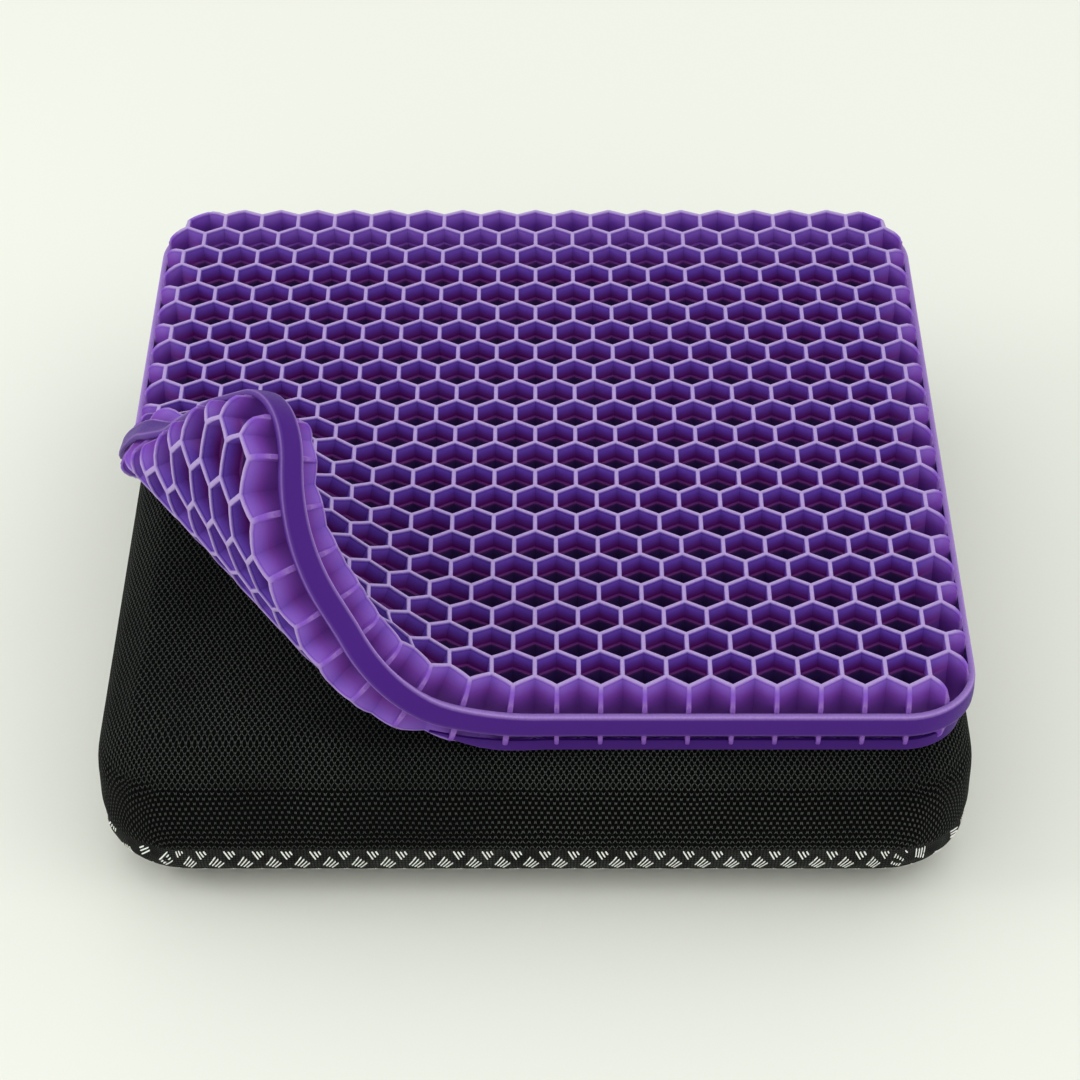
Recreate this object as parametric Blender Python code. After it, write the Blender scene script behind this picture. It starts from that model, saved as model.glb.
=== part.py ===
"""Seat cushion: a honeycomb gel pad lying on a foam cushion in a zipped mesh cover.

The pad is one moulding whose front left corner is peeled up and rolled over.  Units are
metres, +Z is up, and the origin is on the floor under the middle of the foam cushion.
"""
import math

import bmesh
import bpy
from mathutils import Matrix, Vector

MM = 0.001

# Honeycomb gel pad, in millimetres
CELL = 21.0                     # hexagon, flat to flat
SIDE = CELL / math.sqrt(3.0)    # hexagon edge
ROW_PITCH = 1.5 * SIDE
ROWS = 22
CELLS_ACROSS = 20
WALL = 2.4
PAD_HEIGHT = 40.0
PAD_EDGE_ROUND = 10.5
PAD_HALF_WIDTH = 211.0
PAD_FRONT = -205.5
PAD_BACK = 213.2
PAD_CORNER = 33.6
FIRST_ROW_Y = 194.75            # centre line of the back row of cells
MIN_STUB = 4.5
MAX_SKEW = 3.2                  # longest oblique end, in half thicknesses

# Band round the pad at half its height
BAND_THICKNESS = 2.3
BAND_HEIGHT = 12.4
BAND_GAP = 0.5

# Foam cushion and its cover
BASE_HEIGHT = 86.0
PAD_GAP = 0.3
BASE_HALF_WIDTH = 217.0
BASE_FRONT = -220.0
BASE_BACK = 220.0
BASE_CORNER = 40.0
BASE_CORNER_LEAST = 14.0
TOP_ROUND = 22.0
BOTTOM_ROUND = 36.0
CLOTH = 1.5
SEAM_ANGLE = 80.0               # place of the seam on the bottom rounding, in degrees
SEAM_GAP_ANGLE = 0.5
LEVELS_BELOW_SEAM = (0.0, 16.0, 32.0, 48.0, 64.0)
LEVELS_ABOVE_SEAM = (90.0, 100.0, 122.0, 145.0, 168.0, 190.0)
CORE_GAP = 0.4
CORNER_STEPS = 6

# Zipper in the back wall of the cover
ZIP_Z = 53.0
ZIP_HALF_LENGTH = 150.0
ZIP_SLOT_HALF_HEIGHT = 10.0
TAPE_GAP = 0.3
TAPE_BACK = 219.4
TAPE_THICKNESS = 0.8
TOOTH_PITCH = 7.0
TOOTH_COUNT = 40
TOOTH_WIDTH = 3.0
TOOTH_REACH = 2.7
SPINE_HEIGHT = 1.4
TEETH_BACK = 220.9
TEETH_THICKNESS = 1.2
STOP_LENGTH = 4.0
SLIDER_HALF_LENGTH = 6.0
SLIDER_BACK = 222.2
SLIDER_PLATE = 1.0
SLIDER_FLANGE = 1.2
SLIDER_CLEAR = 0.3
SLIDER_X = -130.0
ARCH_BACK = 225.0
ARCH_BAR = 1.0
ARCH_HALF_LENGTH = 4.0
ARCH_HALF_HEIGHT = 0.8
PULL_Y = 223.1
PULL_THICKNESS = 1.0
PULL_HALF_HEIGHT = 4.0
PULL_WINDOW_HALF = 2.5
PULL_WINDOW_LENGTH = 6.0
PULL_LENGTH = 24.0

# The peeled corner: four rolls, each an arc about a line through a point (x, y), with the
# line's heading and the turn it adds, in degrees.  An arc runs its half width to each side,
# and the last number is how far back along its line it keeps its full turn.
BEND_HEIGHT = 123.7
BEND_HALF_WIDTH = 24.2
BEND_FADE = 75.0
LEAST_TURN = 0.0001
BENDS = (
    (-139.0, -132.2, -46.5, 50.3, 400.0),
    (-79.6, -72.0, -66.3, 26.0, 62.0),
    (-172.0, -165.7, -59.9, 39.6, 400.0),
    (-200.2, -194.3, -77.5, 4.5, 400.0),
)

# Colours
GEL_PURPLE = (0.135, 0.035, 0.42)
BAND_PURPLE = (0.11, 0.03, 0.30)
COVER_BLACK = (0.012, 0.013, 0.012)
GRIP_BLACK = (0.02, 0.02, 0.021)
FOAM_WHITE = (0.78, 0.76, 0.66)
TAPE_BLACK = (0.015, 0.015, 0.016)
TOOTH_BLACK = (0.03, 0.03, 0.032)
METAL_GREY = (0.45, 0.45, 0.46)


def clear_scene():
    for item in list(bpy.data.objects):
        bpy.data.objects.remove(item, do_unlink=True)


def make_material(name, color, roughness, metallic=0.0):
    material = bpy.data.materials.new(name)
    material.use_nodes = True
    shader = material.node_tree.nodes["Principled BSDF"]
    shader.inputs["Base Color"].default_value = (*color, 1.0)
    shader.inputs["Roughness"].default_value = roughness
    shader.inputs["Metallic"].default_value = metallic
    material.diffuse_color = (*color, 1.0)
    return material


def add_object(name, verts, faces, material, parent=None):
    """Make one object from millimetre coordinates."""
    mesh = bpy.data.meshes.new(name)
    mesh.from_pydata([Vector(v) * MM for v in verts], [], faces)
    bm = bmesh.new()
    bm.from_mesh(mesh)
    bmesh.ops.triangulate(bm, faces=bm.faces[:])
    bmesh.ops.recalc_face_normals(bm, faces=bm.faces[:])
    bm.to_mesh(mesh)
    bm.free()
    mesh.materials.append(material)
    item = bpy.data.objects.new(name, mesh)
    bpy.context.scene.collection.objects.link(item)
    item.parent = parent
    return item


def add_empty(name, location, parent=None):
    item = bpy.data.objects.new(name, None)
    item.empty_display_size = 0.03
    bpy.context.scene.collection.objects.link(item)
    item.parent = parent
    item.location = Vector(location) * MM
    return item


# ---------------------------------------------------------------- outline of the pad

def outline_depth(point, offset=0.0):
    """Distance inside the pad's rounded outline, negative outside it."""
    half_x = PAD_HALF_WIDTH + offset
    half_y = (PAD_BACK - PAD_FRONT) / 2 + offset
    radius = PAD_CORNER + offset
    qx = abs(point[0]) - (half_x - radius)
    qy = abs(point[1] - (PAD_BACK + PAD_FRONT) / 2) - (half_y - radius)
    outside = math.hypot(max(qx, 0.0), max(qy, 0.0))
    return radius - outside - min(max(qx, qy), 0.0)


def outline_along(point):
    """Direction of the outline beside a point."""
    step = 0.01
    slope_x = outline_depth((point[0] + step, point[1])) - outline_depth((point[0] - step, point[1]))
    slope_y = outline_depth((point[0], point[1] + step)) - outline_depth((point[0], point[1] - step))
    return Vector((-slope_y, slope_x)).normalized()


def edge_drop(depth):
    """How far the rounded edge takes the wall's rim down, near the outline."""
    if depth >= PAD_EDGE_ROUND:
        return 0.0
    inset = PAD_EDGE_ROUND - max(depth, 0.0)
    return PAD_EDGE_ROUND - math.sqrt(PAD_EDGE_ROUND ** 2 - inset ** 2)


# ---------------------------------------------------------------- walls on a plan of lines

def turned(direction, angle):
    cosine = math.cos(angle)
    sine = math.sin(angle)
    return Vector((direction.x * cosine - direction.y * sine,
                   direction.x * sine + direction.y * cosine))


def cross2(first, second):
    return first.x * second.y - first.y * second.x


class WallPlan:
    """A plan of centre lines that becomes one solid with walls of even thickness."""

    def __init__(self, thickness):
        self.half = thickness / 2
        self.points = []
        self.heights = []
        self.cuts = []
        self.index = {}
        self.lines = []

    def node(self, point, heights, cut=None):
        key = (round(point[0], 2), round(point[1], 2))
        if key not in self.index:
            self.index[key] = len(self.points)
            self.points.append(Vector(point[:2]))
            self.heights.append(heights)
            self.cuts.append(cut)
        return self.index[key]

    def line(self, first, second):
        if first != second:
            self.lines.append((first, second))

    def neighbours(self):
        found = {i: [] for i in range(len(self.points))}
        for first, second in self.lines:
            found[first].append(second)
            found[second].append(first)
        return found

    def end_corner(self, node, direction, side):
        """Corner of a free wall end, on its cut line if it has one."""
        across = turned(direction, math.pi / 2) * side * self.half
        cut = self.cuts[node]
        slide = 0.0
        if cut is not None:
            slide = -cross2(across, cut) / cross2(direction, cut)
            slide = max(-MAX_SKEW * self.half, min(MAX_SKEW * self.half, slide))
        return self.points[node] + across + direction * slide

    def solid(self, base_z):
        near = self.neighbours()
        verts = []
        faces = []
        left = {}
        right = {}

        def add_corner(node, point):
            low, high = self.heights[node]
            verts.append((point.x, point.y, base_z + low))
            verts.append((point.x, point.y, base_z + high))
            return len(verts) - 2

        for node, others in near.items():
            if not others:
                continue
            here = self.points[node]
            ways = [(self.points[o] - here).normalized() for o in others]
            order = sorted(range(len(others)), key=lambda i: math.atan2(ways[i].y, ways[i].x))
            if len(others) == 1:
                left[(node, others[0])] = add_corner(node, self.end_corner(node, ways[0], 1))
                right[(node, others[0])] = add_corner(node, self.end_corner(node, ways[0], -1))
                continue
            ring = []
            for place, i in enumerate(order):
                j = order[(place + 1) % len(order)]
                start = math.atan2(ways[i].y, ways[i].x)
                stop = math.atan2(ways[j].y, ways[j].x)
                span = (stop - start) % (2 * math.pi)
                reach = self.half / math.sin(span / 2)
                corner = add_corner(node, here + turned(ways[i], span / 2) * reach)
                left[(node, others[i])] = corner
                right[(node, others[j])] = corner
                ring.append(corner)
            if len(ring) > 2:
                faces.append([c + 1 for c in ring])
                faces.append([c for c in reversed(ring)])

        for a, b in self.lines:
            a_left = left[(a, b)]
            a_right = right[(a, b)]
            b_left = right[(b, a)]
            b_right = left[(b, a)]
            faces.append([a_right + 1, b_right + 1, b_left + 1, a_left + 1])
            faces.append([a_left, b_left, b_right, a_right])
            faces.append([a_right, b_right, b_right + 1, a_right + 1])
            faces.append([b_left, a_left, a_left + 1, b_left + 1])
            if len(near[b]) == 1:
                faces.append([b_right, b_left, b_left + 1, b_right + 1])
            if len(near[a]) == 1:
                faces.append([a_left, a_right, a_right + 1, a_left + 1])
        return verts, faces


def comb_lines():
    """Centre lines of all honeycomb walls, before the outline trims them."""
    lines = []
    for row in range(-1, ROWS + 1):
        y = FIRST_ROW_Y - row * ROW_PITCH
        shift = 0.5 if row % 2 == 0 else 0.0
        span = CELLS_ACROSS // 2
        for step in range(-span, span + 1):
            x = (step + shift) * CELL
            if abs(x) > (span - 0.25) * CELL:
                continue
            lines.append(((x, y + SIDE / 2), (x, y - SIDE / 2)))
        if row == ROWS:
            continue
        for step in range(-span - 1, span + 1):
            x = (step + shift) * CELL
            for reach in (-CELL / 2, CELL / 2):
                lines.append(((x, y - SIDE / 2), (x + reach, y - SIDE)))
    return lines


def clip_line(first, second):
    """Trim a line to the outline; None if it lies outside."""
    a = Vector(first)
    b = Vector(second)
    inside = [t / 24 for t in range(25) if outline_depth(a.lerp(b, t / 24)) > 0]
    if not inside:
        return None
    low = 0.0
    high = 1.0
    if outline_depth(a) < 0:
        low = find_crossing(a, b, 0.0, inside[0])
    if outline_depth(b) < 0:
        high = find_crossing(a, b, 1.0, inside[-1])
    return a.lerp(b, low), a.lerp(b, high)


def find_crossing(a, b, outside, inside):
    for _ in range(40):
        middle = (outside + inside) / 2
        if outline_depth(a.lerp(b, middle)) > 0:
            inside = middle
        else:
            outside = middle
    return inside


def make_comb(material):
    """All the cells of the pad as one net of walls, open above and below."""
    plan = WallPlan(WALL)
    for first, second in comb_lines():
        kept = clip_line(first, second)
        if kept is None or (kept[1] - kept[0]).length < MIN_STUB:
            continue
        nodes = []
        for point in kept:
            depth = outline_depth(point)
            drop = edge_drop(depth)
            cut = outline_along(point) if depth < 0.05 else None
            nodes.append(plan.node(point, (drop, PAD_HEIGHT - drop), cut))
        plan.line(*nodes)
    verts, faces = plan.solid(BASE_HEIGHT)
    return add_object("gel_comb", bend_corner(verts), faces, material)


def band_path():
    """Centre line of the band, once round the outline.  It has more points near the bends."""
    offset = BAND_GAP + BAND_THICKNESS / 2
    half_x = PAD_HALF_WIDTH + offset
    radius = PAD_CORNER + offset
    back = PAD_BACK + offset
    front = PAD_FRONT - offset
    path = []
    corners = (
        (half_x - radius, back - radius, 0.0, 6),
        (-half_x + radius, back - radius, 90.0, 6),
        (-half_x + radius, front + radius, 180.0, 10),
        (half_x - radius, front + radius, 270.0, 6),
    )
    for x, y, start, steps in corners:
        for step in range(steps + 1):
            angle = math.radians(start + 90.0 * step / steps)
            path.append((x + radius * math.cos(angle), y + radius * math.sin(angle)))
        if start == 90.0:
            path += [(-half_x, back - radius - 14.0 * i) for i in range(9, 25)]
        if start == 180.0:
            path += [(-half_x + radius + 14.0 * i, front) for i in range(1, 16)]
    return path


def make_band(material):
    middle = PAD_HEIGHT / 2
    heights = (middle - BAND_HEIGHT / 2, middle + BAND_HEIGHT / 2)
    plan = WallPlan(BAND_THICKNESS)
    nodes = [plan.node(point, heights) for point in band_path()]
    for first, second in zip(nodes, nodes[1:] + nodes[:1]):
        plan.line(first, second)
    verts, faces = plan.solid(BASE_HEIGHT)
    return add_object("gel_band", bend_corner(verts), faces, material)


def bend_corner(verts):
    """Roll the front left corner up: every point is carried along each arc it lies beyond."""
    bent = [Vector(v) for v in verts]
    flat = [Vector(v) for v in verts]
    for x, y, heading, turn, keep in reversed(BENDS):
        angle = math.radians(heading)
        along = Vector((math.cos(angle), math.sin(angle), 0.0))
        outward = Vector((along.y, -along.x, 0.0))
        middle = Vector((x, y, BEND_HEIGHT))
        for i, point in enumerate(flat):
            reach = (point - middle).dot(outward)
            past = reach + BEND_HALF_WIDTH
            share = (point - middle).dot(along) + keep + BEND_FADE
            share = max(0.0, min(1.0, share / BEND_FADE))
            full = math.radians(turn) * share * share * (3.0 - 2.0 * share)
            if past <= 0.0 or full < LEAST_TURN:
                continue
            radius = 2 * BEND_HALF_WIDTH / full
            beyond = max(past - 2 * BEND_HALF_WIDTH, 0.0)
            spin = (past - beyond) / radius
            ahead = radius * math.sin(spin) + beyond * math.cos(full) - BEND_HALF_WIDTH
            rise = radius * (1 - math.cos(spin)) + beyond * math.sin(full)
            here = middle + outward * ahead + Vector((0.0, 0.0, rise))
            bent[i] = here + Matrix.Rotation(-spin, 3, along) @ (bent[i] - middle - outward * reach)
    return bent


# ---------------------------------------------------------------- rounded blocks

def ring_points(inset, z):
    half_x = BASE_HALF_WIDTH - inset
    back = BASE_BACK - inset
    front = BASE_FRONT + inset
    radius = max(BASE_CORNER - 0.65 * inset, BASE_CORNER_LEAST)
    points = []
    corners = (
        (half_x - radius, back - radius, 0.0),
        (-half_x + radius, back - radius, 90.0),
        (-half_x + radius, front + radius, 180.0),
        (half_x - radius, front + radius, 270.0),
    )
    for x, y, start in corners:
        for step in range(CORNER_STEPS + 1):
            angle = math.radians(start + 90.0 * step / CORNER_STEPS)
            points.append((x + radius * math.cos(angle), y + radius * math.sin(angle), z))
    return points


def skin_ring(angle, inner):
    """One level of the cushion's skin, inner millimetres inside it.

    0 degrees is the edge of the flat bottom, 90 the foot of the upright side, 100 its top
    and 190 the edge of the flat top.
    """
    if angle <= 90.0:
        turn = math.radians(angle)
        inset = BOTTOM_ROUND - (BOTTOM_ROUND - inner) * math.sin(turn)
        z = BOTTOM_ROUND - (BOTTOM_ROUND - inner) * math.cos(turn)
    else:
        turn = math.radians(angle - 100.0)
        inset = TOP_ROUND - (TOP_ROUND - inner) * math.cos(turn)
        z = BASE_HEIGHT - PAD_GAP - TOP_ROUND + (TOP_ROUND - inner) * math.sin(turn)
    return ring_points(inset, z)


def rings_solid(rings):
    """A closed block through a stack of rings."""
    count = len(rings[0])
    verts = [p for ring in rings for p in ring]
    faces = side_faces(count, zip(range(len(rings)), range(1, len(rings))))
    last = (len(rings) - 1) * count
    faces.append(list(reversed(range(count))))
    faces.append([last + i for i in range(count)])
    return verts, faces


def tray_solid(outer, inner):
    """A skin open at one edge: both lists of rings run from that edge to the closed end."""
    rings = outer + inner[::-1]
    count = len(rings[0])
    total = len(rings)
    closed = len(outer) - 1
    pairs = [(i, (i + 1) % total) for i in range(total) if i != closed]
    verts = [p for ring in rings for p in ring]
    faces = side_faces(count, pairs)
    faces.append([closed * count + i for i in range(count)])
    faces.append([(closed + 1) * count + i for i in reversed(range(count))])
    return verts, faces


def side_faces(count, pairs):
    faces = []
    for low, high in pairs:
        for i in range(count):
            j = (i + 1) % count
            faces.append([low * count + i, low * count + j, high * count + j, high * count + i])
    return faces


def make_cover_top(material):
    angles = (SEAM_ANGLE,) + LEVELS_ABOVE_SEAM
    outer = [skin_ring(angle, 0.0) for angle in angles]
    inner = [skin_ring(angle, CLOTH) for angle in angles]
    return add_object("cover_top", *tray_solid(outer, inner), material)


def make_cover_base(material):
    angles = (SEAM_ANGLE - SEAM_GAP_ANGLE,) + LEVELS_BELOW_SEAM[::-1]
    outer = [skin_ring(angle, 0.0) for angle in angles]
    inner = [skin_ring(angle, CLOTH) for angle in angles]
    return add_object("cover_base", *tray_solid(outer, inner), material)


def make_foam_core(material):
    angles = LEVELS_BELOW_SEAM + (SEAM_ANGLE,) + LEVELS_ABOVE_SEAM
    rings = [skin_ring(angle, CLOTH + CORE_GAP) for angle in angles]
    return add_object("foam_core", *rings_solid(rings), material)


def cut_zip_slot(cover):
    """The slot that the zipper closes, cut through the back wall of the cover."""
    depth = 12.0
    half = Vector((ZIP_HALF_LENGTH, depth, ZIP_SLOT_HALF_HEIGHT))
    verts, faces = box_parts(Vector((0.0, BASE_BACK, ZIP_Z)) - half,
                             Vector((0.0, BASE_BACK, ZIP_Z)) + half)
    cutter = add_object("zip_slot_cutter", verts, faces, cover.data.materials[0])
    cutter.hide_render = True
    cutter.display_type = "WIRE"
    cut = cover.modifiers.new("zip_slot", "BOOLEAN")
    cut.operation = "DIFFERENCE"
    cut.solver = "EXACT"
    cut.object = cutter


# ---------------------------------------------------------------- zipper

def box_parts(low, high):
    xs = (low[0], high[0])
    ys = (low[1], high[1])
    zs = (low[2], high[2])
    verts = [(x, y, z) for z in zs for y in ys for x in xs]
    faces = [[0, 2, 3, 1], [4, 5, 7, 6], [0, 1, 5, 4], [2, 6, 7, 3], [0, 4, 6, 2], [1, 3, 7, 5]]
    return verts, faces


def prism_y(outline, y_low, y_high):
    """A flat shape in XZ, drawn out along Y."""
    count = len(outline)
    verts = [(x, y_low, z) for x, z in outline] + [(x, y_high, z) for x, z in outline]
    faces = [list(range(count)), [count + i for i in reversed(range(count))]]
    for i in range(count):
        j = (i + 1) % count
        faces.append([j, i, count + i, count + j])
    return verts, faces


def prism_x(outline, x_low, x_high):
    """A flat shape in YZ, drawn out along X."""
    count = len(outline)
    verts = [(x_low, y, z) for y, z in outline] + [(x_high, y, z) for y, z in outline]
    faces = [list(reversed(range(count))), [count + i for i in range(count)]]
    for i in range(count):
        j = (i + 1) % count
        faces.append([i, j, count + j, count + i])
    return verts, faces


def make_tapes(material):
    half_length = ZIP_HALF_LENGTH - TAPE_GAP
    for name, side in (("zipper_tape_upper", 1), ("zipper_tape_lower", -1)):
        near = ZIP_Z + side * TAPE_GAP
        far = ZIP_Z + side * (ZIP_SLOT_HALF_HEIGHT - TAPE_GAP)
        low = (-half_length, TAPE_BACK - TAPE_THICKNESS, min(near, far))
        high = (half_length, TAPE_BACK, max(near, far))
        verts, faces = box_parts(low, high)
        add_object(name, verts, faces, material)


def make_teeth(material):
    """Two combs whose teeth pass between each other."""
    start = -TOOTH_COUNT * TOOTH_PITCH / 2
    reach = TOOTH_REACH / 2
    for name, side, phase in (("zipper_teeth_upper", 1, 0.25), ("zipper_teeth_lower", -1, 0.75)):
        outline = [(start, reach + SPINE_HEIGHT), (start, reach)]
        for tooth in range(TOOTH_COUNT):
            middle = start + (tooth + phase) * TOOTH_PITCH
            outline.append((middle - TOOTH_WIDTH / 2, reach))
            outline.append((middle - TOOTH_WIDTH / 2, -reach))
            outline.append((middle + TOOTH_WIDTH / 2, -reach))
            outline.append((middle + TOOTH_WIDTH / 2, reach))
        outline.append((-start, reach))
        outline.append((-start, reach + SPINE_HEIGHT))
        outline = [(x, ZIP_Z + side * (z + TAPE_GAP)) for x, z in outline]
        verts, faces = prism_y(outline, TEETH_BACK - TEETH_THICKNESS, TEETH_BACK)
        add_object(name, verts, faces, material)


def make_stops(material):
    end = TOOTH_COUNT * TOOTH_PITCH / 2 + TAPE_GAP
    half = TOOTH_REACH / 2 + SPINE_HEIGHT
    for name, side in (("zipper_stop_left", -1), ("zipper_stop_right", 1)):
        near = side * end
        far = side * (end + STOP_LENGTH)
        low = (min(near, far), TEETH_BACK - TEETH_THICKNESS, ZIP_Z - half)
        high = (max(near, far), TEETH_BACK, ZIP_Z + half)
        verts, faces = box_parts(low, high)
        add_object(name, verts, faces, material)


def make_slider(material):
    """A plate over the teeth with a flange at each side and an arch for the pull."""
    track = TOOTH_REACH / 2 + TAPE_GAP + SPINE_HEIGHT + SLIDER_CLEAR
    outer = track + SLIDER_FLANGE
    inside = SLIDER_BACK - SLIDER_PLATE
    foot = TAPE_BACK + 0.4
    section = [(foot, outer), (foot, track), (inside, track), (inside, -track), (foot, -track),
               (foot, -outer), (SLIDER_BACK, -outer), (SLIDER_BACK, outer)]
    axis = add_empty("zipper_slider_track", (SLIDER_X, SLIDER_BACK, ZIP_Z))
    verts, faces = prism_x(section, -SLIDER_HALF_LENGTH, SLIDER_HALF_LENGTH)
    verts = [(x, y - SLIDER_BACK, z) for x, y, z in verts]
    slider = add_object("zipper_slider", verts, faces, material, axis)
    rise = ARCH_BACK - SLIDER_BACK
    arch = [(-ARCH_HALF_LENGTH, -0.5), (-ARCH_HALF_LENGTH, rise), (ARCH_HALF_LENGTH, rise),
            (ARCH_HALF_LENGTH, -0.5), (ARCH_HALF_LENGTH - ARCH_BAR, -0.5),
            (ARCH_HALF_LENGTH - ARCH_BAR, rise - ARCH_BAR),
            (-ARCH_HALF_LENGTH + ARCH_BAR, rise - ARCH_BAR), (-ARCH_HALF_LENGTH + ARCH_BAR, -0.5)]
    count = len(arch)
    arch_verts = [(x, y, -ARCH_HALF_HEIGHT) for x, y in arch]
    arch_verts += [(x, y, ARCH_HALF_HEIGHT) for x, y in arch]
    arch_faces = [list(range(count)), [count + i for i in reversed(range(count))]]
    for i in range(count):
        j = (i + 1) % count
        arch_faces.append([j, i, count + i, count + j])
    tool = add_object("zip_arch_tool", arch_verts, arch_faces, material, axis)
    tool.hide_render = True
    tool.display_type = "WIRE"
    join = slider.modifiers.new("arch", "BOOLEAN")
    join.operation = "UNION"
    join.solver = "EXACT"
    join.object = tool
    return axis


def make_pull(material, track):
    """A tab with a window; its crossbar turns under the slider's arch."""
    axis = add_empty("zipper_pull_axis", (0.0, PULL_Y - SLIDER_BACK, 0.0), track)
    bar = PULL_THICKNESS / 2
    end = PULL_LENGTH
    tall = PULL_HALF_HEIGHT
    outer = [(-bar, -tall), (end - 3.0, -tall), (end, -tall + 2.5), (end, tall - 2.5),
             (end - 3.0, tall), (-bar, tall)]
    inner = [(bar, -PULL_WINDOW_HALF), (PULL_WINDOW_LENGTH, -PULL_WINDOW_HALF),
             (PULL_WINDOW_LENGTH, PULL_WINDOW_HALF), (bar, PULL_WINDOW_HALF)]
    verts = []
    for y in (-bar, bar):
        verts += [(x, y, z) for x, z in outer] + [(x, y, z) for x, z in inner]
    lap = len(outer) + len(inner)
    faces = []
    rim = len(outer)
    for base, flip in ((0, False), (lap, True)):
        parts = [[0, 1, rim + 1, rim], [1, 2, 3, 4, rim + 2, rim + 1],
                 [4, 5, rim + 3, rim + 2], [5, 0, rim, rim + 3]]
        for part in parts:
            face = [base + i for i in part]
            faces.append(list(reversed(face)) if flip else face)
    for start, count in ((0, rim), (rim, len(inner))):
        for i in range(count):
            j = start + (i + 1) % count
            faces.append([j, start + i, lap + start + i, lap + j])
    return add_object("zipper_pull", verts, faces, material, axis)


def main():
    clear_scene()
    gel = make_material("gel", GEL_PURPLE, 0.3)
    band = make_material("gel_band", BAND_PURPLE, 0.25)
    cover = make_material("cover_mesh", COVER_BLACK, 0.85)
    grip = make_material("grip_cloth", GRIP_BLACK, 0.8)
    foam = make_material("foam", FOAM_WHITE, 0.95)
    tape = make_material("zip_tape", TAPE_BLACK, 0.8)
    tooth = make_material("zip_teeth", TOOTH_BLACK, 0.4)
    metal = make_material("zip_metal", METAL_GREY, 0.35, 0.9)

    make_foam_core(foam)
    cover_top = make_cover_top(cover)
    cut_zip_slot(cover_top)
    make_cover_base(grip)
    make_tapes(tape)
    make_teeth(tooth)
    make_stops(metal)
    track = make_slider(metal)
    make_pull(metal, track)
    make_comb(gel)
    make_band(band)


main()
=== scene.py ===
"""Looks of the seat cushion: honeycomb gel pad with a peeled corner on a mesh covered cushion.

Lengths are in millimetres until a mesh is made, then metres.  The pad's plan and the rolls of
its corner repeat the CAD source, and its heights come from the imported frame.
"""
import math

import bmesh
import bpy
import numpy as np
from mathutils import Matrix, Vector
from mathutils.bvhtree import BVHTree


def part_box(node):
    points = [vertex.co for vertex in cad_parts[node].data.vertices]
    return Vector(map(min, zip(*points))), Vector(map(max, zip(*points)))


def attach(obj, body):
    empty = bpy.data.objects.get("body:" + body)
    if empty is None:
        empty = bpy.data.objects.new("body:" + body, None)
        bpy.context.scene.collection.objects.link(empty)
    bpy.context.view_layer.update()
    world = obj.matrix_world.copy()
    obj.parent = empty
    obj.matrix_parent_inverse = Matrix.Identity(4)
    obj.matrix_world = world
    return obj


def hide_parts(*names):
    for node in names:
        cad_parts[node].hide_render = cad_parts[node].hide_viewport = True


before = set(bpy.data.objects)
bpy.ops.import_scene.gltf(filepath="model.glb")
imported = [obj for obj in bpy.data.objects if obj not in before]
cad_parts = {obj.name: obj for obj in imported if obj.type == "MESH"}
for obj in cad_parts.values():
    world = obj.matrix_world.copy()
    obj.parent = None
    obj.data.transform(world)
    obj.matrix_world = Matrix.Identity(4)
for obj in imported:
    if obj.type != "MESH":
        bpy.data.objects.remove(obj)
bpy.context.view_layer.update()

MM = 0.001

# Camera
CAMERA_PLACE = (0.0025, -1.2776, 1.1115)
CAMERA_DOWN = 39.74
CAMERA_VIEW = 19.98

# Pad
CELL = 21.0
SIDE = CELL / math.sqrt(3.0)
ROW_PITCH = 1.5 * SIDE
ROWS = 22
CELLS_ACROSS = 20
PAD_HEIGHT = 40.0
PAD_EDGE_ROUND = 10.5
PAD_HALF_WIDTH = 211.0
PAD_FRONT = -205.5
PAD_BACK = 213.2
PAD_CORNER = 33.6
FIRST_ROW_Y = 194.75
MIN_STUB = 2.2
MAX_SKEW = 2.6
CLIP_STEPS = 2401
STATION_STEPS = 96
BEND_MARGIN = 6.0
BEND_STATION = 4.2
FLAT_STATION = 100.0
STATION_DROP = 1.25
LEAST_STATION = 0.9
# A wall's free end: inset of its last full section, the end's thickness and the painted rim highlight
# there
END_INSET = 0.5
END_SHARE = 0.62
END_HIGHLIGHT = 0.16
NEAR_END_HIGHLIGHT = 0.4
PAD_CLEAR = 0.3
# Rim levels: depth below the rim, half thickness, how far the painted rim highlight reaches
RIM_LEVELS = ((0.0, 0.62, 1.0), (0.3, 1.0, 0.72), (0.9, 1.14, 0.42), (1.3, 1.0, 0.03),
              (1.8, 1.18, 0.2))
BELT_TOP = 30.4
BELT_SLOPE = 0.8
BELT_LEDGE = 0.8
WALL_HALF = 1.17
BAND_OUT = 2.8
BAND_HEIGHT = 12.4
FOOT_INSET = 3.2
FOOT_HEIGHT = 6.5
FOOT_WIDTH = 1.5
FOOT_START = -44.0
FOOT_FADE = 34.0
FOOT_END = 40.0
# Painted back light: how much lighter the back rows are drawn, and where that begins
BACK_LIGHT = 1.25
BACK_LIGHT_START = 150.0

# Rolled corner
BEND_HEIGHT = 123.7
BEND_HALF_WIDTH = 24.2
BEND_FADE = 75.0
LEAST_TURN = 0.0001
BENDS = (
    (-139.0, -132.2, -46.5, 50.3, 400.0),
    (-79.6, -72.0, -66.3, 26.0, 62.0),
    (-172.0, -165.7, -59.9, 39.6, 400.0),
    (-200.2, -194.3, -77.5, 4.5, 400.0),
)

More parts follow.
